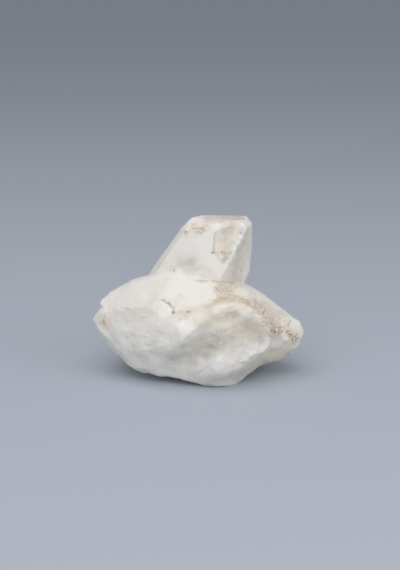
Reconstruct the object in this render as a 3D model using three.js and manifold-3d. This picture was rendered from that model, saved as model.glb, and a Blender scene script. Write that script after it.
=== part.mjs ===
// Rough milky quartz chunk, one grown piece: a stubby six-sided crystal point leans out of the top
// of a massive broken base. The base is a few fracture-bounded lumps that meet in valleys, with
// shell-shaped (conchoidal) dishes, thin ledges, a crack and a crumbly terrace.
// Millimetres, +Z up. The viewer's side faces -Y, and the stone rests on its flat foot at Z = 0.

import * as THREE from "three";
import { ConvexGeometry } from "three/addons/geometries/ConvexGeometry.js";
import { ImprovedNoise } from "three/addons/math/ImprovedNoise.js";
import { TessellateModifier } from "three/addons/modifiers/TessellateModifier.js";
import { mergeVertices } from "three/addons/utils/BufferGeometryUtils.js";
import Module from "manifold-3d";

const wasm = await Module();
wasm.setup();

// The viewer's eye. A place on the viewer's side is given across and up from the middle of the view.
const EYE_DISTANCE = 900;
const EYE_LOOKS_DOWN = THREE.MathUtils.degToRad(15);
const VIEW_MIDDLE = new THREE.Vector3(0, 0, 60.9);

const SKIN_EDGE = 6.3; // longest edge of the base's skin
const SPLIT_ROUNDS = 40; // enough halvings for any edge of the base
const WEAR_ROUNDS = 2; // rounds of averaging that wear the lumps' edges down
const WEAR_IN = 0.6; // share of the way to the neighbours' middle
const WEAR_OUT = -0.45;
const SWELL = [
  { reach: 26, height: 1.2 },
  { reach: 11, height: 0.7 },
]; // fracture faces swell and sink this much, over this distance
const FOOT_CUT = 0.8; // what the flat foot takes off the lowest corners
const FAR = 300; // well outside the stone
const SAME_CORNER = 0.001; // corners nearer than this are one
const CHIP_CLEARS = 6; // how far the chip's cutter stands out of the crystal
const CRACK_SIDES = 6;
const CRACK_STEPS = 3; // lengths of rod from one place of a crack to the next
const FLAKE_FINENESS = 8;
const GRAIN_CORNERS = 9;
const GRAIN_SINKS = 0.1; // share of a grain's radius
const SEED = 11;
const QUARTZ_WHITE = 0xe4e1dc;

// The rear mass, from the white left shoulder to the crystal's foot and down to the ground.
const SHOULDER = [
  [-67.3, 2, 48], [-62.6, 6, 52.8], [-56.5, 10, 56.3], [-42, 14, 61.8], [-34.8, 16, 63.6],
  [-16.2, 1, 71], [-0.8, -4, 65.8], [8.2, -8, 63.2], [-7.2, -17, 54.8], [-13.6, -20, 50.9],
  [-25.3, -18, 57.4], [-35.1, -18, 52.5], [-49.1, -12, 48.6], [-60.4, -5, 44.3],
  [-7.2, -22, 47], [5.6, -19, 51.2], [13, -15, 54], [10, 22, 66], [28, 20, 57],
  [-56, 26, 46], [-40, 42, 47], [-14, 53, 45], [12, 50, 47], [-30, -8, 30], [0, -8, 30],
  [-54, 32, 22], [-44, 40, 8], [-24, 46, 3], [12, 48, 14], [-30, 30, 0],
];

// The big front lump, whose grey face leans out over the foot.
const FRONT = [
  [-16.7, -23, 48], [-7.2, -22, 47.6], [5, -6, 53], [16, -2, 56], [11.8, -31, 55.8],
  [20.3, -30, 57.6], [30.9, -27, 55], [37.5, -24.5, 49.1], [40.3, -26, 43.5],
  [47, -22.5, 32.5], [3.3, -37, 48.7], [-7.1, -40, 39.4], [-15.5, -38.5, 33.4],
  [-24, -35, 29.8], [15.7, -37.5, 38.2], [43.3, -27, 27.9], [36.3, -30, 23.5],
  [29.2, -33, 20.5], [20.9, -35, 15.8], [41.2, -8, 9.2], [36.5, -12, 9.5], [31.1, -16, 7.4],
  [25.8, -21, 4.3], [23.2, -25, 2.6], [13.9, -39, 18.3], [1.5, -37, 18],
  [-1, -28, 2], [9.6, -28.5, -0.3], [18.6, -27, -0.6], [-10.9, -27, 5.7], [-19.3, -24, 6.7],
  [-4, -14, 0], [10, 10, 0], [20, 10, 45],
];

// The left lump: a lit ledge that runs out to the pointed left end.
const LEFT = [
  [-66.5, -1, 43], [-65.6, -4, 30.2], [-62.1, -6, 24.3], [-58.3, -6, 18], [-50.3, -8, 11.6],
  [-38.9, -18, 6.7], [-34, 4, 0], [-24, -35, 29.8], [-35, -29, 26.5], [-51.7, -16, 21],
  [-16.7, -23, 48.2], [-7.2, -22, 47.6], [-25.3, -19, 55.6], [-35.1, -19, 52.8],
  [-49.1, -13, 48.9], [-60.4, -6, 44.6], [-15.5, -38.5, 33.4], [-7.1, -40, 39.4],
  [-10.9, -27, 5.7], [-19.3, -24, 6.7], [-10, -8, 0], [-36, 28, 0], [-54, 28, 16],
  [-10, 10, 10], [-10, 0, 46],
  [-40, 4, 54], [-56, 4, 48],
];

// The right lump: a rough terrace that slopes down to the right end.
const RIGHT = [
  [31.2, 14, 59], [44.6, 14, 49.4], [56.4, 10, 40.8], [68.6, 2, 33], [69.5, 0, 29],
  [12, -12, 55], [14, 4, 60], [25.4, 4, 56], [37.4, 5, 51], [53.7, 1, 42.2], [64.8, -4, 30.7],
  [46.1, -20, 32.5], [31, -18, 52], [47.7, -14.5, 23.3], [53.3, -10.5, 21], [63.8, -6.5, 23.1],
  [67.8, -3.5, 26.7], [37.4, -6, 8.2], [44, -5, 8.6], [49.9, -4, 10.6], [54.6, -3, 10.8],
  [59.2, -2, 13.1], [63, -2, 17.9], [67, 0, 22.7], [24, 6, 0], [22, 34, 0],
  [54, 28, 18], [50, 30, 36], [34, 44, 30], [22, 46, 42], [10, 0, 40], [10, 36, 6],
];

// The crystal point, with its foot sunk in the shoulder.
const CRYSTAL = [
  [-9.5, 5, 96.4], [8.9, 4.5, 94.8], [12.7, -4, 64.6], [-28, 3, 69.1], [-5.7, 16, 102.2],
  [1.3, 22, 102.6], [30.4, 23, 102], [34.3, 18, 98], [29.8, 8, 97], [27.3, 10, 101.7],
  [34.2, 19, 82], [32.7, 17, 65.2], [29, 13, 58], [-33.7, 14, 65.1], [-11.7, 12, 97],
  [-2, 34, 93], [24, 37, 90], [-27, 34, 56], [16, 40, 52], [31, 36, 70], [-36, 14, 55],
  [10, -1, 54], [-26, 5, 55],
];

// The pointed left end: a small wedge with its own flat little faces.
const TIP = [
  [-71.4, 0, 37.7], [-66.2, -2, 43.2], [-64, 4, 47], [-61, -6, 44.5], [-63.6, -5.5, 36.2],
  [-61, -7.5, 25.2], [-66, -4, 30], [-48, -6, 40], [-50, -4, 28], [-52, 8, 45], [-54, 8, 34],
];

// The chipped face beside the crystal's ridge: its corners, and how deep each is broken in.
const CHIP = [
  { corner: [8.9, 4.5, 94.8], depth: 0.8 },
  { corner: [8.4, 2.2, 82], depth: 1.2 },
  { corner: [17.5, 0, 75.4], depth: 0.6 },
  { corner: [27.3, 10, 101.7], depth: 0.2 },
  { corner: [29.8, 8, 97], depth: 0.1 },
];
const CHIP_FACES = new THREE.Vector3(0.05, -0.93, 0.36).normalize();

// Soft hollows (and, with a negative depth, swellings) in the base's skin on the viewer's side.
const HOLLOWS = [
  { at: [22.9, -20.6], width: 20, depth: 1.7 },
  { at: [30.6, -30.4], width: 26, depth: 1.6 },
  { at: [3.3, -42.3], width: 44, depth: 2.2 },
  { at: [-22.8, -48.8], width: 40, depth: 1.6 },
  { at: [11, -54], width: 24, depth: -2 },
  { at: [-15, -27], width: 22, depth: -1.2 },
  { at: [-45.5, -21.5], width: 30, depth: 1.2 },
  { at: [-38, -36], width: 26, depth: -1 },
  { at: [-19.5, -2], width: 28, depth: -1.2 },
  { at: [-14.3, -15], width: 18, depth: 1.6 },
  { at: [38, -38], width: 20, depth: -1 },
];

// Cracks and crevices on the viewer's side.
const CRACKS = [
  { along: [[-25.5, -9.6], [-21.7, -11.7], [-18.8, -13.7], [-17, -16.8]], width: 1.5 },
  { along: [[1.9, -14.6], [6.5, -12.7], [11, -9.8], [18.2, -6.5], [24.7, -5.2]], width: 2.2 },
];

// Shell-shaped flake scars round the back: the ball that scoops each one out.
const FLAKES = [
  { centre: [-28, 98, 26], radius: 52 },
  { centre: [8, 91, 38], radius: 44 },
  { centre: [72, 74, 34], radius: 50 },
  { centre: [-94, 42, 44], radius: 45 },
  { centre: [-60, 70, 2], radius: 46 },
];

// Crumbs broken loose along the terrace and around the crystal's chipped face, and pits among them.
const TERRACE = [[11, -4.5], [21, -9], [32, -13], [42, -18.5], [51, -26], [61, -34.5]];
const CRYSTAL_CHIPS = [[-6, 41], [4, 37], [10, 33], [9, 22], [15, 18], [19, 22], [26, 36], [31, 42]];
const CRUMBLES = [
  { along: TERRACE, spread: 4, count: 26, size: [1.1, 2.1], raised: true },
  { along: TERRACE, spread: 4, count: 12, size: [1.1, 1.9], raised: false },
  { along: CRYSTAL_CHIPS, spread: 1.5, count: 10, size: [0.8, 1.3], raised: true },
  { along: CRYSTAL_CHIPS, spread: 1.5, count: 5, size: [0.8, 1.2], raised: false },
];

const hull = (corners) =>
  new ConvexGeometry(corners.map((corner) => new THREE.Vector3(...corner)));

// A geometry of positions alone, with shared corners merged.
function merge(geometry) {
  const bare = geometry.index ? geometry.toNonIndexed() : geometry.clone();
  bare.deleteAttribute("normal");
  bare.deleteAttribute("uv");
  return mergeVertices(bare, SAME_CORNER);
}

// A closed solid from a geometry.
function solid(geometry) {
  const merged = merge(geometry);
  return new wasm.Manifold(
    new wasm.Mesh({
      numProp: 3,
      vertProperties: merged.attributes.position.array,
      triVerts: new Uint32Array(merged.index.array),
    }),
  );
}

// A geometry from a closed solid.
function geometryOf(body) {
  const mesh = body.getMesh();
  return new THREE.BufferGeometry()
    .setAttribute("position", new THREE.BufferAttribute(mesh.vertProperties, 3))
    .setIndex(new THREE.BufferAttribute(mesh.triVerts, 1));
}

// Moves every corner part of the way to the middle of its neighbours.
function average(geometry, share) {
  const position = geometry.attributes.position;
  const index = geometry.index.array;
  const sums = Array.from({ length: position.count }, () => new THREE.Vector3());
  const counts = new Float32Array(position.count);
  const corner = new THREE.Vector3();
  for (let i = 0; i < index.length; i += 3) {
    for (const [a, b] of [[0, 1], [1, 2], [2, 0]]) {
      sums[index[i + a]].add(corner.fromBufferAttribute(position, index[i + b]));
      counts[index[i + a]] += 1;
    }
  }
  sums.forEach((sum, i) => {
    corner.fromBufferAttribute(position, i);
    corner.lerp(sum.divideScalar(counts[i]), share);
    position.setXYZ(i, ...corner);
  });
}

// Wears edges round without shrinking the lump: each step in is followed by a step out.
function wear(geometry) {
  for (let round = 0; round < WEAR_ROUNDS; round += 1) {
    average(geometry, WEAR_IN);
    average(geometry, WEAR_OUT);
  }
}

// Moves every corner along its own normal by the height that a function gives for its place.
function raise(geometry, heightAt) {
  geometry.computeVertexNormals();
  const { position, normal } = geometry.attributes;
  const at = new THREE.Vector3();
  const out = new THREE.Vector3();
  for (let i = 0; i < position.count; i += 1) {
    at.fromBufferAttribute(position, i);
    out.fromBufferAttribute(normal, i);
    at.addScaledVector(out, heightAt(at, out));
    position.setXYZ(i, ...at);
  }
}

// The gentle swell of a fracture face.
const noise = new ImprovedNoise();
const swell = (at) =>
  SWELL.reduce(
    (sum, { reach, height }) =>
      sum + height * noise.noise(at.x / reach, at.y / reach, at.z / reach),
    0,
  );

// Finds the point of a geometry that the viewer sees at a place across and up, with its normal.
function viewer(geometry) {
  const target = new THREE.Mesh(geometry, new THREE.MeshBasicMaterial());
  const back = new THREE.Vector3(0, -Math.cos(EYE_LOOKS_DOWN), Math.sin(EYE_LOOKS_DOWN));
  const upward = new THREE.Vector3(0, Math.sin(EYE_LOOKS_DOWN), Math.cos(EYE_LOOKS_DOWN));
  const eye = VIEW_MIDDLE.clone().addScaledVector(back, EYE_DISTANCE);
  return ([across, up]) => {
    const aim = VIEW_MIDDLE.clone().addScaledVector(upward, up);
    aim.x += across;
    const [hit] = new THREE.Raycaster(eye, aim.sub(eye).normalize()).intersectObject(target);
    return hit && { point: hit.point, normal: hit.face.normal };
  };
}

// Sinks the soft hollows into a skin.
function sinkHollows(geometry) {
  const see = viewer(geometry);
  const hollows = HOLLOWS.map(({ at, width, depth }) => ({ ...see(at), width, depth }));
  raise(geometry, (at, out) =>
    hollows.reduce((height, { point, normal, width, depth }) => {
      const share = at.distanceTo(point) / (width / 2);
      const dish = share < 1 && out.dot(normal) > 0 ? (1 - share ** 2) ** 2 : 0;
      return height - depth * dish;
    }, 0),
  );
}

// The cutter that breaks the crystal's chipped face in.
function chipCutter() {
  const corners = CHIP.flatMap(({ corner, depth }) => {
    const at = new THREE.Vector3(...corner);
    return [
      at.clone().addScaledVector(CHIP_FACES, -depth),
      at.clone().addScaledVector(CHIP_FACES, CHIP_CLEARS),
    ];
  });
  return solid(new ConvexGeometry(corners));
}

// The cutter for a crack: a rod that runs half sunk along the surface.
function crackCutter(see, { along, width }) {
  const ring = new THREE.EllipseCurve(0, 0, width / 2, width / 2).getPoints(CRACK_SIDES);
  const section = new THREE.Shape(ring.slice(0, CRACK_SIDES));
  const route = new THREE.CatmullRomCurve3(along.map((place) => see(place).point));
  const steps = CRACK_STEPS * (along.length - 1);
  return solid(new THREE.ExtrudeGeometry(section, { steps, bevelEnabled: false, extrudePath: route }));
}

// The ball that scoops out a flake scar.
function flakeCutter({ centre, radius }) {
  return solid(new THREE.IcosahedronGeometry(radius, FLAKE_FINENESS).translate(...centre));
}

// A stretch of crumbs or pits: small angular grains strewn along a route on the viewer's side.
function crumble(see, { along, spread, count, size, raised }) {
  const { seededRandom, lerp } = THREE.MathUtils;
  const either = () => 2 * seededRandom() - 1;
  const route = new THREE.CatmullRomCurve3(along.map(([across, up]) => new THREE.Vector3(across, up, 0)));
  return Array.from({ length: count }, () => {
    const place = route.getPoint(seededRandom());
    const spot = see([place.x + spread * either(), place.y + spread * either()]);
    const radius = lerp(...size, seededRandom());
    if (!spot) return null;
    const corners = Array.from({ length: GRAIN_CORNERS }, () =>
      new THREE.Vector3(either(), either(), either()).setLength(radius),
    );
    spot.point.addScaledVector(spot.normal, radius * (raised ? -GRAIN_SINKS : GRAIN_SINKS));
    return solid(new ConvexGeometry(corners).translate(...spot.point));
  }).filter(Boolean);
}

// The base: lumps joined, split into a fine skin, worn, swollen and hollowed.
const lumps = [SHOULDER, FRONT, LEFT, RIGHT]
  .map((corners) => solid(hull(corners)))
  .reduce((whole, lump) => whole.add(lump));
const skin = merge(new TessellateModifier(SKIN_EDGE, SPLIT_ROUNDS).modify(geometryOf(lumps)));
wear(skin);
raise(skin, swell);
sinkHollows(skin);

// The whole stone: the crystal and the pointed end grow out of the base, and it is cracked.
let stone = solid(skin)
  .add(solid(hull(TIP)))
  .add(solid(hull(CRYSTAL)).subtract(chipCutter()));
const see = viewer(geometryOf(stone));
for (const crack of CRACKS) stone = stone.subtract(crackCutter(see, crack));
for (const flake of FLAKES) stone = stone.subtract(flakeCutter(flake));
THREE.MathUtils.seededRandom(SEED);
for (const stretch of CRUMBLES) {
  for (const grain of crumble(see, stretch)) {
    stone = stretch.raised ? stone.add(grain) : stone.subtract(grain);
  }
}

// The flat foot, and the origin on it under the middle of the stone.
const ground = new THREE.BoxGeometry(FAR, FAR, FAR).translate(0, 0, FOOT_CUT - FAR / 2);
const finished = geometryOf(stone.subtract(solid(ground)));
finished.computeBoundingBox();
const middle = finished.boundingBox.getCenter(new THREE.Vector3());
finished.translate(-middle.x, -middle.y, -finished.boundingBox.min.z);

const quartz = new THREE.Mesh(
  finished,
  new THREE.MeshStandardMaterial({ color: QUARTZ_WHITE, roughness: 0.5, metalness: 0 }),
);
quartz.name = "quartz_chunk";

const root = new THREE.Group();
root.add(quartz);

export default root;
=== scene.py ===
# Rough milky quartz chunk: the fine skin and the finish of one grown stone, dressed on its solid.
# Metres, +Z up, and the viewer's side faces -Y. Lengths in the lists below are millimetres.

import math
import random

import bmesh
import bpy
import numpy as np
from bpy.props import FloatProperty, FloatVectorProperty, IntProperty, PointerProperty
from mathutils import Matrix, Vector, noise


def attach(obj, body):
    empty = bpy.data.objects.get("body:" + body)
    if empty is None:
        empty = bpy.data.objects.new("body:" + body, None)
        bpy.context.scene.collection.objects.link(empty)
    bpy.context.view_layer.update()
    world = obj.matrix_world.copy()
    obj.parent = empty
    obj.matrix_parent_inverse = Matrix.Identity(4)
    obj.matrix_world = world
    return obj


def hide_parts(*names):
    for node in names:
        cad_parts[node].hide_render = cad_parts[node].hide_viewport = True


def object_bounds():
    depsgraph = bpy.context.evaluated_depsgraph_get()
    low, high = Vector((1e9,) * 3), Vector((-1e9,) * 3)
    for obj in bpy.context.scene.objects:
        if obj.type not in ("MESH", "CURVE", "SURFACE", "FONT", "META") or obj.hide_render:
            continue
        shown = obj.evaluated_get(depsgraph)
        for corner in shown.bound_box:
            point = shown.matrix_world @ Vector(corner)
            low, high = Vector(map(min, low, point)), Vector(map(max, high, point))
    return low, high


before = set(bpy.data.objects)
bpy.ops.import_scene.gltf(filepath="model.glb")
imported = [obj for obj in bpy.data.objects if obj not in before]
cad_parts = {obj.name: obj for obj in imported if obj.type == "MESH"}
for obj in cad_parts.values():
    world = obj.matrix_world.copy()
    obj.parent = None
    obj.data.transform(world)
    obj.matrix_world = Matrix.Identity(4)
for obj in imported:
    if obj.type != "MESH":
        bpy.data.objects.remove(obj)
SOLID_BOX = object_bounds()

bl_info = {
    "name": "Rough Quartz Chunk",
    "version": (1, 0, 0),
    "blender": (4, 5, 0),
    "location": "View3D > Sidebar > Quartz",
    "description": "Dresses the packed quartz solid with its skin, crumbs, stains and finish",
    "category": "Object",
}

NODE = "quartz_chunk"
PIECE = "quartz_stone"
MM = 0.001

# The viewer's eye. A place on the viewer's side is given across and up from the middle of the view.
EYE_DISTANCE = 0.9
EYE_LOOKS_DOWN = math.radians(15)
VIEW_MIDDLE = Vector((1.7, -6.4, 60.1)) * MM
VIEW_HEIGHT = 0.3705  # how much the frame's long side takes in at the middle of the view
SENSOR = 36.0
TO_EYE = Vector((0, -math.cos(EYE_LOOKS_DOWN), math.sin(EYE_LOOKS_DOWN)))
VIEW_UP = Vector((0, math.sin(EYE_LOOKS_DOWN), math.cos(EYE_LOOKS_DOWN)))
EYE = VIEW_MIDDLE + TO_EYE * EYE_DISTANCE

LIT = Vector((0, 0, 0.04))  # where the lights aim
ROOM_LIGHT = 0.38  # how strong the pale light from all round is

# The plane that parts the crystal from the base, and the way the crystal grew.
CRYSTAL_FOOT = Vector((0, 4, 63)) * MM
CRYSTAL_RISES = Vector((0.12, 0.3, 0.95)).normalized()
GROWTH = Vector((0.5, 0.05, 0.86)).normalized()
CRYSTAL_LEAN = math.radians(30)
LAYERS_TILT = math.radians(8.6)

# Brush strokes on the viewer's side: a weight, then places across and up, each with a radius.
TERRACE = [
    (14, -5.5, 3), (21, -8, 3.6), (30, -11.5, 4.4), (42, -15.5, 5.3), (50, -21.5, 6.3), (55, -27, 5),
]
TERRACE_RUBBLE = [(42, -19, 4.2), (44.5, -25, 6), (50, -29.5, 6)]
TERRACE_END = [(55, -28, 4), (59, -32, 3.5), (62, -35.5, 3)]
CHIPPED_FACE = [(20, 36, 6), (17.5, 28, 6), (17, 20, 3.5)]
CHIP_RUBBLE = [(8.5, 22, 1), (13, 21, 1.6), (18, 21.5, 2.4), (16.3, 16.5, 2)]
CHIP_CRUMBS = [(15.8, 36.2, 2.4), (10.2, 34.4, 1.2), (17.6, 31, 1.4), (20.4, 26, 1.4), (27, 35, 1.5)]
RIDGE_CRUMBS = [(27, 41, 2), (30, 38, 1.5), (24, 27, 1.1), (17.5, 13.5, 1.3)]
UPPER_CRUMBS = [(-9, 34, 1.4), (-4, 38.5, 2), (-1, 36, 3), (4, 37, 2.6)]
FOOT_LINE = [
    (-25, 7.8, 0.7), (-17.6, 10.4, 1.5), (-11, 7.2, 0.5), (-4.2, 3.6, 0.8), (0, 2.7, 1), (6.5, 2.2, 0.7),
    (13, 2, 1), (21, 1.4, 0.7), (28, 0.7, 0.4),
]
CRACK = [
    (-25.5, -9.6, 0.25), (-23.5, -10.1, 0.5), (-22.1, -11.6, 0.3), (-20.4, -11.9, 0.65),
    (-18.8, -13.8, 0.4), (-17.1, -15.1, 0.55), (-17, -17.4, 0.75), (-17.9, -19.2, 0.3),
]
SMALL_PIT = [(-9, -17.3, 0.7), (-6.5, -17.8, 1)]
TIP_LEDGE = [
    (-59.8, -12.4, 0.6), (-60.8, -17.8, 0.8), (-63.2, -23.7, 1.1), (-62, -28, 0.8), (-57.6, -33.4, 0.7),
    (-55.4, -37.7, 0.5),
]

# The marks, each a list of brush strokes.
OPEN_CRACKS = [(1, CRACK), (0.3, TIP_LEDGE), (0.7, SMALL_PIT)]
SMOOTHED_GROOVE = [(1, [(-24, -10.5, 3.5), (-18, -15, 3.5)])]
NICKED_RIDGE = [(1, RIDGE_CRUMBS)]
GRIT = [
    (0.55, TERRACE),
    (1, TERRACE_RUBBLE),
    (1, TERRACE_END),
    (0.9, CHIP_RUBBLE),
    (0.8, UPPER_CRUMBS),
    (0.3, FOOT_LINE),
    (0.9, [(11.5, -2.5, 2.6), (17, -4.5, 3.4)]),
] + [(0.8, [crumbs]) for crumbs in CHIP_CRUMBS]
SAND = [
    (0.62, [(2, -14, 2), (8, -11, 3), (14, -8, 4), (22, -10, 5), (31, -13, 5.5), (41, -17, 7.5),
            (48, -23, 8), (55, -30, 7), (62, -34, 5)]),
    (0.3, CHIPPED_FACE),
    (0.5, [(16, 37, 3), (14, 21, 4), (17, 16, 3)]),
    (0.8, [(12, -2.5, 3.5), (19, -4.5, 4)]),
    (0.6, [(-9, 34, 3), (-2, 36.5, 5), (5, 37, 4)]),
    (0.45, [(-1, -24, 4), (9, -22, 5), (22, -21, 6)]),
    (0.3, [(-47, -17, 6), (-36, -17, 7), (-26, -12, 5)]),
    (0.6, [(-62.5, -24.5, 3.5)]),
    (0.35, [(-18, 10, 3)]),
    (0.25, [(-4, 3.4, 1.6), (4, 2, 1.4), (14, 1.6, 2.4), (24, 0.6, 2)]),
    (0.15, [(30, 2, 5), (46, -10, 5)]),
    (0.3, [(20, -38, 9), (32, -32, 8)]),
    (0.4, [(-8, -20, 5), (8, -16, 4)]),
    (0.5, [(34, -52, 6), (46, -48, 6), (58, -41, 6)]),
]
RUST = [
    (0.6, [(4, -14.5, 0.8), (8.5, -12, 1.4), (11, -10.2, 1.8), (16, -8.3, 2.6), (23, -8.5, 2.2)]),
    (0.45, CRACK),
    (0.3, TIP_LEDGE),
    (0.6, [(-62.5, -24.5, 1.6)]),
    (0.5, [(24, -8, 2), (36, -12.5, 2.5), (44, -17, 3)]),
    (0.5, [(44, -21, 3), (49, -27, 3), (52, -30, 2)]),
    (0.5, [(10, 33, 1.2), (8.5, 25, 1), (9, 21, 1.2), (15.5, 15, 1.3)]),
]
SPECKS_AND_SHADE = [
    (1, [(x, z, r)])
    for x, z, r in [
        (-16.8, 9.6, 0.7), (-9.3, 34.2, 0.8), (8, 21, 0.7), (15.5, 15.3, 0.7), (-7.7, -17.4, 1),
        (-17.2, -17.8, 1.1), (58.5, -32.6, 1.5), (61, -34.6, 1.6), (57, -30.6, 1.2), (57.3, -25.5, 0.7),
        (58.6, -23.4, 0.6), (49, -30, 1), (44, -23, 1), (63, -32, 0.8),
    ]
] + [
    # the crack: dark dirt, and the crack's painted shade, since its groove is only a hairline
    (0.55, CRACK),
    (0.35, [(-62.8, -24.1, 1.2)]),
    (0.35, [(-50, -15, 0.4), (-47, -15.4, 0.7)]),
    (0.3, [(-40.4, -20.4, 0.5)]),
    (0.45, [(-2.5, 3.3, 0.4), (0.5, 2.8, 0.8), (4.6, 2.4, 0.5)]),
    (0.4, [(8, 2.6, 0.5), (11.5, 2, 0.8), (15, 2.3, 0.5), (20.5, 1.6, 0.7)]),
]
# Clearer, greyer quartz, and painted shade: on the crystal's right face and its dent, on the front lump's
# face that turns down, and on the low bands along the bottom.
CLEAR_AND_SHADE = [
    (0.55, [(29, 34, 5), (26, 20, 7), (22, 6, 7)]),
    (0.8, [(4, 43, 2.8), (16, 42.5, 3.8), (27, 43.5, 2.4)]),
    (0.25, [(-7, 34, 2), (-20, 17, 2.5), (-30, 6, 2)]),
    (0.4, [(-14, 14, 7), (-4, 12, 8)]),
    (0.5, CHIPPED_FACE),
    (0.6, [(-14, -22, 5), (0, -20, 4), (6, -18, 4)]),
    (0.6, [(-18, -48, 6), (-4, -43, 12), (8, -37, 14), (26, -32, 13)]),
    (0.5, [(-9, -42, 4), (0, -32, 5), (8, -24, 4)]),
    (0.85, [(9, -21, 4), (22, -20, 5)]),
    (0.75, [(24, -26, 8), (36, -31, 10)]),
    (0.5, [(14, -17, 4), (24, -15, 3)]),
    (0.15, [(-60, -22, 6), (-46, -32, 8), (-30, -34, 8)]),
    (0.3, [(36, -50, 6), (50, -45, 6), (62, -40, 4)]),
    (0.5, [(4, -64, 4), (16, -62, 5), (24, -57, 5), (33, -52, 5), (41, -49, 4)]),
]
# Milkier quartz on the shoulder and across the crystal, and painted highlights on the lit bumps, the lit
# lip above a ledge and the lit side of the front lump's ridge.
MILKY_AND_HIGHLIGHTS = [
    (0.6, [(-50, -5, 10), (-34, -1, 12), (-18, -2, 10), (-8, -5, 5)]),
    (0.5, [(-18, 20, 6), (-8, 27, 6), (2, 29, 6), (6, 12, 8)]),
    (0.5, [(30, -46, 3), (38, -41, 3), (11, -54, 5)]),
    (0.5, [(-28, -46, 3.5), (-17.5, -36, 4), (-6, -24.5, 3.5), (2, -17.5, 2.5)]),
]
CALM = [
    (0.75, [(-52, -6, 12), (-35, -2, 14), (-18, -2, 12), (-2, -6, 8)]),
    (0.55, [(-52, -25, 12), (-30, -24, 12)]),
]
# Bruised, powdery white, which also paints highlights on the lit bumps, the lit lip above a ledge, the lit
# ridges and the crystal's edges.
BRUISES_AND_HIGHLIGHTS = [
    (0.8, [(11, -54, 5), (4, -58, 4)]),
    (0.6, [(-15, -26, 5), (-8, -21, 4), (4, -18, 3)]),
    (0.6, [(29, -46.5, 2.2), (34, -44.6, 2.6), (39, -41, 2.4)]),
    (0.8, [(13.5, -38, 1.3)]),
    (1, [(-26.5, -11.6, 0.8), (-22, -13.8, 0.9), (-19, -16.4, 0.8)]),
    (0.6, RIDGE_CRUMBS),
    (0.6, [(-8, -21, 1.5), (4, -17, 1.5), (16, -13.5, 1.5), (28, -14, 1.5), (36, -18, 1.5),
           (40, -24, 1.5)]),
    (0.7, [(-4, 44, 0.5), (6, 46.8, 0.5), (28, 46.5, 0.5), (33.4, 42, 0.6), (34, 30, 0.6), (33, 10, 0.5)]),
    (1, [(29.8, 37, 1), (25, 28.5, 1), (21, 19, 1.1), (16.7, 11, 0.8)]),
]

# Soft hollows on the viewer's side: across, up, width, and depth (a swelling where it is negative).
HOLLOWS = [
    (-10, 12, 17, 1.1), (-3, 9, 12, 0.7), (8.5, 11, 12, -0.5), (-12, 24, 18, -0.4), (15, 27, 9, 0.5),
    (22, -21, 13, 0.8), (31, -30, 16, 0.8), (19, -32, 10, -0.6), (9, -38, 14, -0.5), (2, -47, 22, 0.9),
    (-13, -45, 18, 0.6), (11, -55, 12, -0.5), (-8, -52, 12, 0.5), (33, -44, 9, -0.4), (26, -50, 9, 0.8),
    (-45, -22, 16, 0.6), (-30, -24, 14, -0.6), (-26, -33, 12, 0.6), (-47, -35, 12, 0.5), (-22, -19, 9, 0.7),
    (-30, -2, 16, -0.5), (-12, -9, 10, 0.7), (-2, -7, 9, -0.5), (-17, 4, 10, -0.5), (44, -3, 14, 0.5),
    (52, -44, 14, 0.6), (42, -52, 8, 0.8), (-57, -18, 8, 0.5),
]

BENDS_DRAW = 5  # the seed of the bends in strokes, ledges and creases: unset, each run would differ
BRUSH_REACH = 1.6  # how many of its radii a brush stroke reaches before it has faded out
FACET_TURN = Matrix.Rotation(0.9, 3, Vector((0.4, 0.7, 0.5)))  # keeps the facets off the axes
LEFT_LUMP_ENDS = -12  # along X, where the left lump's thin layers have faded out
LEFT_LUMP_TOP = 51  # along Z, likewise
GROOVE_ROUNDS = 8  # rounds of smoothing that narrow the solid's crack to a hairline
LEDGE_DROP = 0.8  # how far the drop below a ledge's edge reaches
LEDGES_STRAY = (4, 1.8)  # how long the bends in a ledge's edge are, and how far they stray
STROKES_STRAY = 3.2  # how long the bends in the brush strokes are
BROAD_STRAY = 1.5  # how far a broad stroke strays
EXACT_STRAY = 0.35  # how far a stroke that has to stay in its place strays

# The fine relief.
SWELL_WIDTH = 13
BENDS = (7, 1.5)  # how long the bends in the facets' creases are, and how far they stray
LARGE_FACET = 10
SMALL_FACET = 4.3
SMALL_FACET_HEIGHT = 0.4  # as a share of the large ones' height
BLOW = Vector((14, -40, 58))  # where the shell-shaped ripples spread from
RIPPLE_TURN = 1.7  # radians a millimetre, so the ripples are 3.7 mm apart
LAYER_SIZE = (26, 14, 1.9)  # along X, Y and Z
LAYER_SLOPE = 0.12
STREAK_WIDTH = 0.9
STREAK_LENGTH = 30
NICK_WIDTH = 2.6
GRAIN_WIDTH = 1.7

# The sides that the viewer doesn't see have patches of stain by chance.
PATCH_WIDTH = 21
PATCHES_FROM = Vector((5, 0, 9))

CRUMB_DRAW = 23  # the seed of the crumbs' places and shapes
CRUMBS_FROM = 0.45  # how gritty a place has to be to hold a crumb

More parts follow.
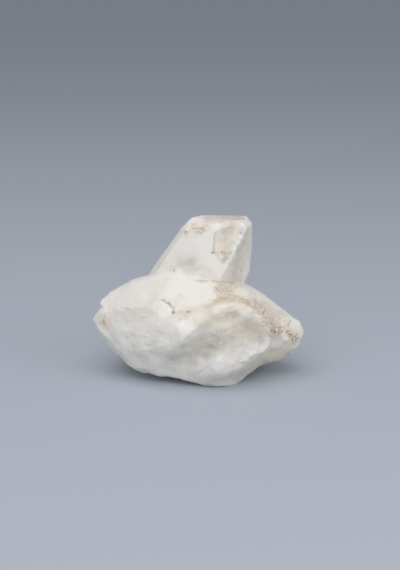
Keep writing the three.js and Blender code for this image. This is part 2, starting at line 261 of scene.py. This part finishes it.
# Crisp ledges on the viewer's side, drawn from left to right with their high side above:
# the height, how far the high side slopes back, and places across and up.
LEDGES = [
    (0.8, 4, [(18, -51.5), (24, -51), (30, -48.5), (37, -45), (42.5, -41.5), (45.5, -39), (46.8, -34.5)]),
    (0.6, 4, [(-6, -57.5), (-1, -56), (3, -53), (7.5, -50), (12, -48.8), (16.5, -51)]),
    (0.5, 4, [(10, -24), (14, -21), (19, -18), (25, -17.5), (28, -20.5), (26, -24.5)]),
    (0.4, 4, [(28, -35), (32, -40), (38, -41.5), (43, -38.5)]),
    (0.5, 5, [(6, -30), (10, -33), (15, -36), (19, -41)]),
    (0.3, 3, [(-62, -15.5), (-52, -15), (-40, -15), (-31, -12.5), (-25.5, -9.8)]),
    (0.3, 3, [(-57, -24), (-47, -22.8), (-38, -21.5), (-29, -18.2), (-21, -17.5)]),
    (0.35, 3, [(-37, -30), (-31, -29.2), (-26, -30.5), (-21, -31.2)]),
    (0.4, 4, [(-53, -34.5), (-45.5, -37.8), (-37.7, -38.4), (-29, -37), (-22, -34.5), (-15.6, -30)]),
    (0.4, 4, [(-46, -43.6), (-39, -42.3), (-31, -43), (-23, -43.5), (-15.6, -42.3)]),
    (0.35, 3, [(-66, -27), (-62.5, -33), (-57, -38.5)]),
    (0.3, 4, [(-12, -48), (-5, -51), (2, -50)]),
    (0.5, 6, [(-24, -49), (-17, -42), (-11.5, -37.5), (-5, -30), (-0.5, -26), (7, -19)]),
]

# Flat faces broken off the viewer's side: across, up, width, the way each faces, and how deep it cuts.
FACES = [
    (57, -42, 26, (0.5, -0.35, -0.8), 1.6),
    (66, -30, 14, (0.93, -0.25, 0.2), 0.8),
    (59, -24, 20, (0.55, -0.3, 0.78), 0.8),
    (52, -37, 18, (0.25, -0.95, 0.1), 1),
    (-40, -50, 26, (-0.35, -0.6, -0.72), 1.2),
    (-57, -37, 18, (-0.75, -0.5, -0.45), 1),
    (-52, -2, 26, (-0.5, -0.5, 0.7), 0.8),
    (30, -54, 18, (0.45, -0.6, -0.65), 1),
]

RELIEF_MARKS = ("grit", "crack", "crystal", "left", "ridge", "calm")
COLOUR_MARKS = ("grit", "sand", "rust", "speck_and_shade", "clear", "milky", "bruise_and_highlight", "crystal")
LATER_MARKS = ("height", "crumb")  # filled in once the relief and the crumbs are made

# The material's patterns: their size in millimetres, detail, distortion, and how they lie. The finest
# real grain can't be seen from a step away, so no pattern is finer than about half a millimetre.
PATTERNS = {
    "broad clouds": (22, 6, 0.3, "even"),
    "small clouds": (5, 6, 0.2, "even"),
    "healed layers": (2.4, 5, 0.2, "layered"),
    "flecks": (0.9, 3, 0, "even"),
    "bruises": (2.5, 4, 0, "even"),
    "sand patches": (3.2, 6, 0.6, "even"),
    "rust patches": (1.8, 5, 0, "even"),
    "dirt": (0.8, 3, 0, "even"),
    "sheen": (6, 5, 0, "even"),
    "grain": (0.6, 4, 0, "even"),
    "hackle": (2.6, 6, 0.7, "even"),
    "growth lines": (0.6, 2, 0, "along the crystal"),
}

# How each pattern of clouds whitens or clears the quartz: where it starts and ends, and by how much.
CLOUDS = [
    ("broad clouds", 0.35, 0.7, -0.12, 0.2),
    ("small clouds", 0.3, 0.7, -0.1, 0.1),
    ("healed layers", 0.3, 0.7, -0.1, 0.1),
    ("flecks", 0.35, 0.65, -0.07, 0.07),
]

# The coats over the quartz, first to last: the mark that places it, what breaks it up, where that
# starts and ends, the strengths there, and the coat's colour.
COATS = [
    # bruised white, partly a painted highlight on lit bumps, lips, ridges and edges
    ("bruise_and_highlight", "bruises", 0.35, 0.6, 0, 1, "bruise_and_highlight"),
    ("sand", "sand patches", 0.28, 0.62, 0.25, 1, "sand"),
    ("rust", "rust patches", 0.35, 0.65, 0.1, 0.9, "rust"),
    # raised grit paler: a clay colour, partly a painted highlight on the raised tops
    ("grit", "height", 0.15, 0.75, 0, 0.85, "cream_and_highlight"),
    ("grit", "flecks", 0.52, 0.68, 0, 0.25, "speck_and_shade"),
    # low pits of the grit darker: dirt, partly painted shade between the crumbs
    ("grit", "height", -0.3, -0.7, 0, 0.5, "speck_and_shade"),
    ("crumb", "height", -1, 1, 0.85, 0.85, "cream_and_highlight"),
    # dark dirt, and the painted shade of the crack where the speck mark follows it
    ("speck_and_shade", "dirt", 0.38, 0.55, 0, 1, "speck_and_shade"),
]


def linear(code):
    """A colour's hex code as the linear values that Blender's shaders take."""
    values = (int(code[i : i + 2], 16) / 255 for i in (1, 3, 5))
    return tuple(v / 12.92 if v <= 0.04045 else ((v + 0.055) / 1.055) ** 2.4 for v in values)


def colour(name, description, code):
    """A colour that the sidebar shows."""
    return FloatVectorProperty(
        name=name, description=description, default=linear(code), subtype="COLOR", size=3, min=0, max=1
    )


def length(name, description, default):
    """A length, in metres, that the sidebar shows."""
    return FloatProperty(
        name=name, description=description, default=default, min=0, precision=5,
        subtype="DISTANCE", unit="LENGTH",
    )


def share(name, description, default):
    """A share from nothing to all that the sidebar shows."""
    return FloatProperty(
        name=name, description=description, default=default, min=0, max=1, subtype="FACTOR"
    )


class QUARTZ_PG_relief(bpy.types.PropertyGroup):
    """Sizes of the stone's fine relief."""

    skin: length("Skin", "Edge of the fine skin's faces", 0.78 * MM)
    swell: length("Swell", "How far fracture faces swell and sink", 0.25 * MM)
    facets: length("Facets", "How far the flat fracture facets stand out", 0.75 * MM)
    ripple: length("Ripple", "Height of the shell-shaped ripples", 0.06 * MM)
    layers: length("Layers", "Height of the left lump's thin layers", 0.16 * MM)
    streaks: length("Streaks", "Height of the streaks along the crystal", 0.07 * MM)
    grit: length("Grit", "Height of the crumbly skin", 0.7 * MM)
    crack: length("Crack", "Depth of the crack", 0.8 * MM)
    nicks: length("Nicks", "Depth of the nicks in the crystal's edges", 0.6 * MM)
    crumbs: IntProperty(
        name="Crumbs", description="How many crumbs stick to the stone", default=680, min=0
    )
    crumb_size: length("Crumb size", "Radius of a large crumb", 1.1 * MM)


class QUARTZ_PG_finish(bpy.types.PropertyGroup):
    """Colours and gloss of the stone, and the colour of the floor."""

    milk: colour("Milk", "Cloudy white quartz", "#F0ECE5")
    # Also the colour of the painted shade on faces turned from the light and on the low bands.
    clear: colour("Clear and shade", "Greyish quartz that light sinks into", "#CAC4B7")
    # Also the colour of the painted highlights on lit bumps, lips, ridges and the crystal's edges.
    bruise_and_highlight: colour("Bruise and highlight", "Bruised, powdery white", "#FAF9F6")
    # Also the painted highlight on the raised tops of the grit.
    cream_and_highlight: colour("Cream and highlight", "Crumbs with a thin coat of clay", "#F5E6CC")
    sand: colour("Sand", "Beige clay stain", "#E2D2B6")
    rust: colour("Rust", "Orange-brown iron stain", "#C79F67")
    # Also the colour of the painted shade in the crack and in the pits between the crumbs.
    speck_and_shade: colour("Speck and shade", "Dark dirt in pits and cracks", "#76603F")
    gloss: share("Roughness", "Roughness of a fresh fracture face", 0.42)
    glow: share("Light within", "How much light spreads under the surface", 0.4)
    floor: colour("Floor", "Plain pale floor", "#B8BFCA")


def falloff(share_of_radius):
    """One in the middle of a brush, falling softly to nothing at its rim."""
    inside = np.clip(1 - share_of_radius, 0, 1)
    return inside * inside * (3 - 2 * inside)


def painted(places, strokes):
    """How strongly each place, across and up in millimetres, lies under the brush strokes."""
    amount = np.zeros(len(places))
    for weight, points in strokes:
        points = np.array(points if len(points) > 1 else points * 2, float)
        for start, end in zip(points[:-1], points[1:]):
            way = end[:2] - start[:2]
            along = np.clip((places - start[:2]) @ way / max(way @ way, 1e-9), 0, 1)
            radius = start[2] + (end[2] - start[2]) * along
            distance = np.linalg.norm(places - start[:2] - along[:, None] * way, axis=1)
            amount = np.maximum(amount, weight * falloff(distance / radius / BRUSH_REACH))
    return amount


def across_and_up(points):
    """Where the viewer sees each point, in millimetres across and up from the middle of the view."""
    rel = points - np.array(EYE)
    depth = -(rel @ np.array(TO_EYE))
    return np.stack([rel[:, 0], rel @ np.array(VIEW_UP)], 1) * (EYE_DISTANCE / MM / depth)[:, None]


def stray(bm, length_of_bends):
    """How far each place strays, across and up, so that what is drawn by it bends softly."""
    strays = np.array([noise.noise_vector(v.co / MM / length_of_bends) for v in bm.verts])
    return strays[:, [0, 2]]


def ledge_heights(places):
    """How far the crisp ledges stand out: each rises to its edge and drops off sharply below it."""
    heights = np.zeros(len(places))
    for rise, reach, points in LEDGES:
        points = np.array(points, float)
        nearest = np.full(len(places), np.inf)
        above = np.zeros(len(places), bool)
        way_along = np.zeros(len(places))
        for i, (start, end) in enumerate(zip(points[:-1], points[1:])):
            way = end - start
            along = np.clip((places - start) @ way / (way @ way), 0, 1)
            offset = places - start - along[:, None] * way
            distance = np.linalg.norm(offset, axis=1)
            closer = distance < nearest
            nearest = np.where(closer, distance, nearest)
            above = np.where(closer, way[0] * offset[:, 1] > way[1] * offset[:, 0], above)
            way_along = np.where(closer, (i + along) / (len(points) - 1), way_along)
        fade = np.clip(4 * np.minimum(way_along, 1 - way_along), 0, 1)
        drop = np.clip(1 - nearest / LEDGE_DROP, 0, 1)
        heights += rise * fade * np.where(above, falloff(nearest / reach), drop)
    return heights


def facets(point, size):
    """A height, between -1 and 1, made of flat facets that meet in creases, as quartz breaks."""
    scaled = FACET_TURN @ point / size
    corner = Vector(map(math.floor, scaled))
    within = scaled - corner
    height = last = noise.cell(corner)
    for axis in sorted(range(3), key=lambda i: -within[i]):
        corner[axis] += 1
        here = noise.cell(corner)
        height += (here - last) * within[axis]
        last = here
    return height


def relief(point, normal, marks, sizes):
    """How far the skin stands out at a point in millimetres, given the marks it lies under."""
    grit, crack, crystal, left, ridge, calm = marks
    base = 1 - crystal
    broken = 1 - calm
    bend, far = BENDS
    warped = point + noise.noise_vector(point / bend) * far
    height = sizes.swell * noise.fractal(point / SWELL_WIDTH, 1, 2, 3) * (0.25 + 0.75 * base)
    height += sizes.facets * facets(warped, LARGE_FACET) * (0.1 + 0.9 * base) * broken
    small = facets(warped + Vector((3, 5, 1)), SMALL_FACET)
    height += sizes.facets * SMALL_FACET_HEIGHT * small * (0.06 + 0.94 * base) * broken

    rings = (point - BLOW).length + 2.2 * noise.noise(point / 9)
    ringed = max(0, noise.noise(point / 17) + 0.25)
    height += sizes.ripple * math.sin(rings * RIPPLE_TURN) * base * ringed

    along, deep, thick = LAYER_SIZE
    level = (warped.z + LAYER_SLOPE * warped.x) / thick
    height += sizes.layers * noise.noise(Vector((warped.x / along, warped.y / deep, level))) * left

    grown = point - point.dot(GROWTH) * GROWTH
    streak = noise.noise(grown / STREAK_WIDTH + GROWTH * point.dot(GROWTH) / STREAK_LENGTH)
    height += sizes.streaks * streak * crystal * (1.6 if normal.x < -0.3 else 0.5)

    if ridge > 0:
        (near, *_), _ = noise.voronoi(point / NICK_WIDTH)
        height -= sizes.nicks * ridge * max(0, 0.75 - near) * 1.6
    if grit > 0.02:
        (near, second, *_), _ = noise.voronoi(warped / GRAIN_WIDTH)
        lump = min(1, 1.5 * (second - near)) - 0.45 + 0.6 * noise.noise(point / 0.9)
        height += sizes.grit * grit * lump
    return height - sizes.crack * crack


class QUARTZ_OT_stone(bpy.types.Operator):
    """Make the stone: a fine skin grown on the solid, with relief, crumbs, stains and finish"""

    bl_idname = "quartz.make_stone"
    bl_label = "Make stone"

    def execute(self, context):
        sizes = context.scene.quartz_relief
        noise.seed_set(BENDS_DRAW)
        skin = self.skin(context, sizes)
        bm = bmesh.new()
        bm.from_mesh(skin)
        bpy.data.meshes.remove(skin)
        self.wear(bm)
        self.hollow(bm)
        marks = self.mark(bm)
        self.carve(bm, marks, sizes)
        self.strew(bm, marks, sizes)
        mesh = bpy.data.meshes.new(PIECE)
        bm.to_mesh(mesh)
        bm.free()
        stone = bpy.data.objects.new(PIECE, mesh)
        context.scene.collection.objects.link(stone)
        mesh.materials.append(quartz_material(context.scene.quartz_finish))
        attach(stone, "root")
        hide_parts(NODE)
        return {"FINISHED"}

    def skin(self, context, sizes):
        """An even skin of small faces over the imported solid, as a new mesh."""
        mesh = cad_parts[NODE].data.copy()
        bm = bmesh.new()
        bm.from_mesh(mesh)
        bmesh.ops.remove_doubles(bm, verts=bm.verts, dist=0.001 * MM)
        bm.to_mesh(mesh)
        bm.free()
        rough = bpy.data.objects.new("rough", mesh)
        context.scene.collection.objects.link(rough)
        remesh = rough.modifiers.new("skin", "REMESH")
        remesh.mode = "VOXEL"
        remesh.voxel_size = sizes.skin
        remesh.adaptivity = 0
        skin = bpy.data.meshes.new_from_object(rough.evaluated_get(context.evaluated_depsgraph_get()))
        bpy.data.objects.remove(rough)
        bpy.data.meshes.remove(mesh)
        return skin

    def wear(self, bm):
        """Rounds the base a little, and narrows the groove that the crack is drawn in."""
        rough = [v for v in bm.verts if (v.co - CRYSTAL_FOOT).dot(CRYSTAL_RISES) < 0]
        every_way = {"use_axis_x": True, "use_axis_y": True, "use_axis_z": True}
        bmesh.ops.smooth_vert(bm, verts=rough, factor=0.5, **every_way)
        bm.normal_update()
        beside = painted(across_and_up(np.array([v.co for v in bm.verts])), SMOOTHED_GROOVE)
        groove = [v for v, near in zip(bm.verts, beside) if near > 0 and v.normal.dot(TO_EYE) > 0]
        for _ in range(GROOVE_ROUNDS):
            bmesh.ops.smooth_vert(bm, verts=groove, factor=0.5, **every_way)

    def hollow(self, bm):
        """Sinks the soft hollows into the skin on the viewer's side, and raises the ledges."""
        places = across_and_up(np.array([v.co for v in bm.verts]))
        facing = np.clip(np.array([v.normal for v in bm.verts]) @ np.array(TO_EYE) * 3, 0, 1)
        depth = np.zeros(len(places))
        for x, z, width, deep in HOLLOWS:
            wobble = 1 + 0.25 * np.sin(3 * np.arctan2(places[:, 1] - z, places[:, 0] - x) + x)
            depth += deep * falloff(np.linalg.norm(places - (x, z), axis=1) * 2 / width * wobble)
        bend, far = LEDGES_STRAY
        depth -= ledge_heights(places + stray(bm, bend) * far)
        for vert, sink in zip(bm.verts, depth * facing):
            vert.co -= vert.normal * float(sink) * MM
        self.flatten(bm, places, facing)

    def flatten(self, bm, places, facing):
        """Breaks the flat faces off the skin."""
        points = np.array([v.co for v in bm.verts]) / MM
        for x, z, width, way, deep in FACES:
            way = np.array(Vector(way).normalized())
            near = falloff(np.linalg.norm(places - (x, z), axis=1) / width) * (facing > 0)
            reach = points @ way
            beyond = np.clip(reach - reach[near > 0.5].max() + deep, 0, None) * np.clip(near * 4, 0, 1)
            points -= way * beyond[:, None]
        for vert, point in zip(bm.verts, points):
            vert.co = Vector(point) * MM

    def mark(self, bm):
        """Stores how stained, gritty, clear or cracked each place is, and returns the marks."""
        bm.normal_update()
        points = np.array([v.co for v in bm.verts])
        normals = np.array([v.normal for v in bm.verts])
        strays = stray(bm, STROKES_STRAY)
        places = across_and_up(points) + strays * BROAD_STRAY
        exact = across_and_up(points) + strays * EXACT_STRAY
        facing = np.clip(normals @ np.array(TO_EYE) * 4 + 0.4, 0, 1)
        rise = (points - np.array(CRYSTAL_FOOT)) @ np.array(CRYSTAL_RISES) / MM
        spots = [v.co / MM / PATCH_WIDTH + PATCHES_FROM for v in bm.verts]
        patches = np.array([noise.fractal(spot, 1, 2, 3) for spot in spots])
        hidden = 1 - facing
        behind = np.clip(-0.3 - 3 * normals @ np.array(TO_EYE), 0, 1)
        marks = {
            "grit": painted(places, GRIT) * facing + behind * np.clip(patches * 3 - 0.9, 0, 0.8),
            "sand": painted(places, SAND) * facing + hidden * np.clip(patches * 2 - 0.35, 0, 0.7),
            "rust": painted(exact, RUST) * facing + hidden * np.clip(patches * 3 - 1.1, 0, 0.6),
            "speck_and_shade": painted(exact, SPECKS_AND_SHADE) * facing,
            "clear": painted(places, CLEAR_AND_SHADE) * facing + hidden * np.clip(0.45 - patches, 0, 1),
            "bruise_and_highlight": painted(places, BRUISES_AND_HIGHLIGHTS) * facing,
            "crack": painted(exact, OPEN_CRACKS) * facing,
            "milky": painted(places, MILKY_AND_HIGHLIGHTS) * facing,
            "calm": painted(places, CALM) * facing,
            "crystal": np.clip(rise / 2 + 0.5, 0, 1),
            "left": np.clip((LEFT_LUMP_ENDS - points[:, 0] / MM) / 14, 0, 1)
            * np.clip((LEFT_LUMP_TOP - points[:, 2] / MM) / 6, 0, 1),
            "ridge": painted(exact, NICKED_RIDGE) * facing,
        }
        for name in COLOUR_MARKS:
            layer = bm.verts.layers.float.new(name)
            for vert, value in zip(bm.verts, marks[name]):
                vert[layer] = float(value)
        for name in LATER_MARKS:
            bm.verts.layers.float.new(name)
        return marks

    def carve(self, bm, marks, sizes):
        """Gives the skin its fine relief, kept inside the solid's own box."""
        lowest, highest = SOLID_BOX
        height_layer = bm.verts.layers.float["height"]
        columns = zip(*(marks[name] for name in RELIEF_MARKS))
        moves = []
        for vert, here in zip(bm.verts, columns):
            height = relief(vert.co / MM, vert.normal, tuple(map(float, here)), sizes)
            moves.append(vert.normal * height)
            # The stored height also makes the raised grit paler and its pits darker in the material:
            # painted light and shade, partly clay and dirt.
            vert[height_layer] = height / sizes.grit
        for vert, move in zip(bm.verts, moves):
            vert.co += move
            vert.co = Vector(min(max(c, low), high) for c, low, high in zip(vert.co, lowest, highest))
        for face in bm.faces:
            face.smooth = True

    def strew(self, bm, marks, sizes):
        """Sticks angular crumbs to the gritty places."""
        chance = random.Random(CRUMB_DRAW)
        bm.verts.ensure_lookup_table()
        gritty = [i for i, amount in enumerate(marks["grit"]) if amount > CRUMBS_FROM]
        spots = [bm.verts[i] for i in chance.sample(gritty, min(sizes.crumbs, len(gritty)))]
        places = [(spot.co.copy(), spot.normal.copy()) for spot in spots]
        crumb = bm.verts.layers.float["crumb"]
        for place, normal in places:
            radius = sizes.crumb_size * (0.4 + 0.6 * chance.random() ** 2)
            axis = Vector((chance.random(), chance.random(), 1))
            turn = Matrix.Rotation(chance.uniform(0, math.tau), 4, axis)
            shape = Matrix.Diagonal((1, chance.uniform(0.5, 0.9), chance.uniform(0.6, 1.3), 1))
            centre = Matrix.Translation(place + normal * radius * 0.15)
            made = bmesh.ops.create_icosphere(
                bm, subdivisions=1, radius=radius, matrix=centre @ turn @ shape
            )
            paleness = chance.uniform(0.3, 1)
            for vert in made["verts"]:
                vert.co += Vector(chance.uniform(-0.25, 0.25) * radius for _ in range(3))
                vert.co.z = max(vert.co.z, 0)
                vert[crumb] = paleness


def feed(tree, node, inputs):
    """Gives each of a node's inputs its value, or its link from another node's output."""
    for name, value in inputs.items():
        if isinstance(value, bpy.types.NodeSocket):
            tree.links.new(value, node.inputs[name])
        else:
            node.inputs[name].default_value = value


def add(tree, kind, settings, inputs, output=0):
    """Adds a shader node with its settings and inputs, and returns one of its outputs."""
    node = tree.nodes.new(kind)
    for name, value in settings.items():
        setattr(node, name, value)
    feed(tree, node, inputs)
    return node.outputs[output]


def quartz_material(finish):
    """Milky quartz, broken and never polished.

    Bubbles too small to see scatter the light inside, which makes it cloudy white with a soft glow, and
    greyer where it is clearer. Its grey also paints shade on faces turned from the light and on the low
    bands, and its whites paint highlights on lit bumps, lips, ridges and the crystal's edges. Broken faces
    are waxy and the crystal's faces are a little smoother. Crumbs and clay on it are dull, beige to orange,
    paler on raised grit, partly as a painted highlight, with dark dirt and painted shade in the pits and
    the crack.
    """
    material = bpy.data.materials.new("milky_quartz")
    material.use_nodes = True
    tree = material.node_tree
    soft = {"interpolation_type": "SMOOTHSTEP"}
    plus = {"operation": "ADD"}
    minus = {"operation": "SUBTRACT"}
    times = {"operation": "MULTIPLY"}

    place = add(tree, "ShaderNodeTexCoord", {}, {}, "Object")
    tilted = add(tree, "ShaderNodeMapping", {}, {"Vector": place, "Rotation": (0, LAYERS_TILT, 0)})
    leaning = add(tree, "ShaderNodeMapping", {}, {"Vector": place, "Rotation": (0, -CRYSTAL_LEAN, 0)})
    lies = {
        "even": place,
        "layered": add(tree, "ShaderNodeVectorMath", times, {0: tilted, 1: (0.35, 0.35, 1.3)}),
        "along the crystal": add(tree, "ShaderNodeVectorMath", times, {0: leaning, 1: (1, 1, 0.05)}),
    }
    found = {}
    for name in COLOUR_MARKS + LATER_MARKS:
        found[name] = add(tree, "ShaderNodeAttribute", {"attribute_name": name}, {}, "Fac")
    for name, (size, detail, distortion, how) in PATTERNS.items():
        scale = 1 / (size * MM)
        shape = {"Scale": scale, "Detail": detail, "Roughness": 0.6, "Distortion": distortion}
        found[name] = add(tree, "ShaderNodeTexNoise", {}, {"Vector": lies[how], **shape}, "Fac")

    # Greyer where the quartz is clearer and where shade is painted; whiter where it is milkier and where
    # highlights are painted.
    clearness_and_shading = add(tree, "ShaderNodeMath", minus, {0: found["clear"], 1: found["milky"]})
    for name, low, high, whitens, clears in CLOUDS:
        span = {"From Min": low, "From Max": high, "To Min": whitens, "To Max": clears}
        cloud = add(tree, "ShaderNodeMapRange", soft, {"Value": found[name], **span})
        clearness_and_shading = add(tree, "ShaderNodeMath", plus, {0: clearness_and_shading, 1: cloud})
    clearness_and_shading = add(tree, "ShaderNodeMapRange", soft, {"Value": clearness_and_shading})
    ends = {6: (*finish.milk, 1), 7: (*finish.clear, 1)}
    look = add(tree, "ShaderNodeMix", {"data_type": "RGBA"}, {0: clearness_and_shading, **ends}, 2)
    for name, breaks, low, high, least, most, tint in COATS:
        span = {"From Min": low, "From Max": high, "To Min": least, "To Max": most}
        broken = add(tree, "ShaderNodeMapRange", soft, {"Value": found[breaks], **span})
        amount = add(tree, "ShaderNodeMath", times, {0: found[name], 1: broken})
        ends = {6: look, 7: (*getattr(finish, tint), 1)}
        look = add(tree, "ShaderNodeMix", {"data_type": "RGBA"}, {0: amount, **ends}, 2)

    ends = {"To Min": finish.gloss - 0.08, "To Max": finish.gloss + 0.12}
    span = {"From Min": 0.3, "From Max": 0.7, **ends}
    roughness = add(tree, "ShaderNodeMapRange", soft, {"Value": found["sheen"], **span})
    smoother = add(tree, "ShaderNodeMath", times, {0: found["crystal"], 1: -0.06})
    either = {"operation": "MAXIMUM"}
    crumbly = add(tree, "ShaderNodeMath", either, {0: found["grit"], 1: found["crumb"]})
    duller = add(tree, "ShaderNodeMath", times, {0: crumbly, 1: 0.35})
    for change in (smoother, duller):
        roughness = add(tree, "ShaderNodeMath", plus, {0: roughness, 1: change})

    span = {"To Min": 0.8, "To Max": 1.7}
    rougher = add(tree, "ShaderNodeMapRange", soft, {"Value": found["grit"], **span})
    on_crystal = add(tree, "ShaderNodeMath", times, {0: found["crystal"], 1: 0.25})
    bumps = add(tree, "ShaderNodeMath", times, {0: found["hackle"], 1: 0.45})
    for name, strength in (("grain", rougher), ("growth lines", on_crystal)):
        drawn = add(tree, "ShaderNodeMath", times, {0: found[name], 1: strength})
        bumps = add(tree, "ShaderNodeMath", plus, {0: bumps, 1: drawn})
    bump = add(tree, "ShaderNodeBump", {}, {"Height": bumps, "Strength": 0.62, "Distance": 0.45 * MM})

    shader = tree.nodes["Principled BSDF"]
    shader.subsurface_method = "RANDOM_WALK"
    feed(tree, shader, {
        "Base Color": look,
        "Roughness": roughness,
        "Normal": bump,
        "IOR": 1.544,
        "Subsurface Weight": finish.glow,
        "Subsurface Scale": 3 * MM,
        "Subsurface Radius": (1, 0.93, 0.84),
    })
    return material


def floor_material(finish):
    """Plain matt paper: no sheen, so the floor shows only the stone's soft shadow."""
    material = bpy.data.materials.new("floor_paper")
    material.use_nodes = True
    tree = material.node_tree
    inputs = {"Base Color": (*finish.floor, 1), "Roughness": 0.9, "Specular IOR Level": 0.1}
    feed(tree, tree.nodes["Principled BSDF"], inputs)
    return material


class QUARTZ_OT_stage(bpy.types.Operator):
    """Make the floor, the soft lights and the camera"""

    bl_idname = "quartz.make_stage"
    bl_label = "Make stage"

    def execute(self, context):
        scene = context.scene
        self.floor(scene)
        self.light(scene, "soft_key", (-0.18, -0.36, 1.1), 1.5, 8)
        self.light(scene, "soft_front", (-0.1, -1.3, 0.2), 0.8, 3.6)
        self.light(scene, "soft_side", (0.85, -0.5, 0.4), 0.8, 2.1)
        self.surroundings(scene)
        self.camera(scene)
        scene.view_settings.view_transform = "Standard"
        return {"FINISHED"}

    def floor(self, scene):
        bm = bmesh.new()
        bmesh.ops.create_grid(bm, x_segments=1, y_segments=1, size=6)
        mesh = bpy.data.meshes.new("floor")
        bm.to_mesh(mesh)
        bm.free()
        mesh.materials.append(floor_material(scene.quartz_finish))
        floor = bpy.data.objects.new("floor", mesh)
        scene.collection.objects.link(floor)

    def light(self, scene, name, place, size, power):
        data = bpy.data.lights.new(name, "AREA")
        data.size = size
        data.energy = power
        lamp = bpy.data.objects.new(name, data)
        lamp.location = place
        lamp.rotation_euler = (LIT - Vector(place)).to_track_quat("-Z", "Y").to_euler()
        scene.collection.objects.link(lamp)

    def surroundings(self, scene):
        world = bpy.data.worlds.new("pale_room")
        world.use_nodes = True
        background = world.node_tree.nodes["Background"]
        background.inputs["Color"].default_value = (*linear("#FBFCFF"), 1)
        background.inputs["Strength"].default_value = ROOM_LIGHT
        scene.world = world

    def camera(self, scene):
        data = bpy.data.cameras.new("camera")
        data.sensor_width = SENSOR
        data.lens = SENSOR * EYE_DISTANCE / VIEW_HEIGHT
        camera = bpy.data.objects.new("camera", data)
        camera.location = EYE
        camera.rotation_euler = (-TO_EYE).to_track_quat("-Z", "Y").to_euler()
        scene.collection.objects.link(camera)
        scene.camera = camera


class QUARTZ_PT_sidebar(bpy.types.Panel):
    """The stone's sizes, colours and makers in the 3D view's sidebar"""

    bl_idname = "QUARTZ_PT_sidebar"
    bl_label = "Rough quartz chunk"
    bl_space_type = "VIEW_3D"
    bl_region_type = "UI"
    bl_category = "Quartz"

    def draw(self, context):
        for group in (context.scene.quartz_relief, context.scene.quartz_finish):
            box = self.layout.box()
            for name in group.__annotations__:
                box.prop(group, name)
        for operator in (QUARTZ_OT_stone, QUARTZ_OT_stage):
            self.layout.operator(operator.bl_idname)


CLASSES = (QUARTZ_PG_relief, QUARTZ_PG_finish, QUARTZ_OT_stone, QUARTZ_OT_stage, QUARTZ_PT_sidebar)


def register():
    for each in CLASSES:
        bpy.utils.register_class(each)
    bpy.types.Scene.quartz_relief = PointerProperty(type=QUARTZ_PG_relief)
    bpy.types.Scene.quartz_finish = PointerProperty(type=QUARTZ_PG_finish)


def unregister():
    del bpy.types.Scene.quartz_finish
    del bpy.types.Scene.quartz_relief
    for each in reversed(CLASSES):
        bpy.utils.unregister_class(each)


def main():
    register()
    bpy.ops.quartz.make_stage()
    bpy.ops.quartz.make_stone()


if __name__ == "__main__":
    main()
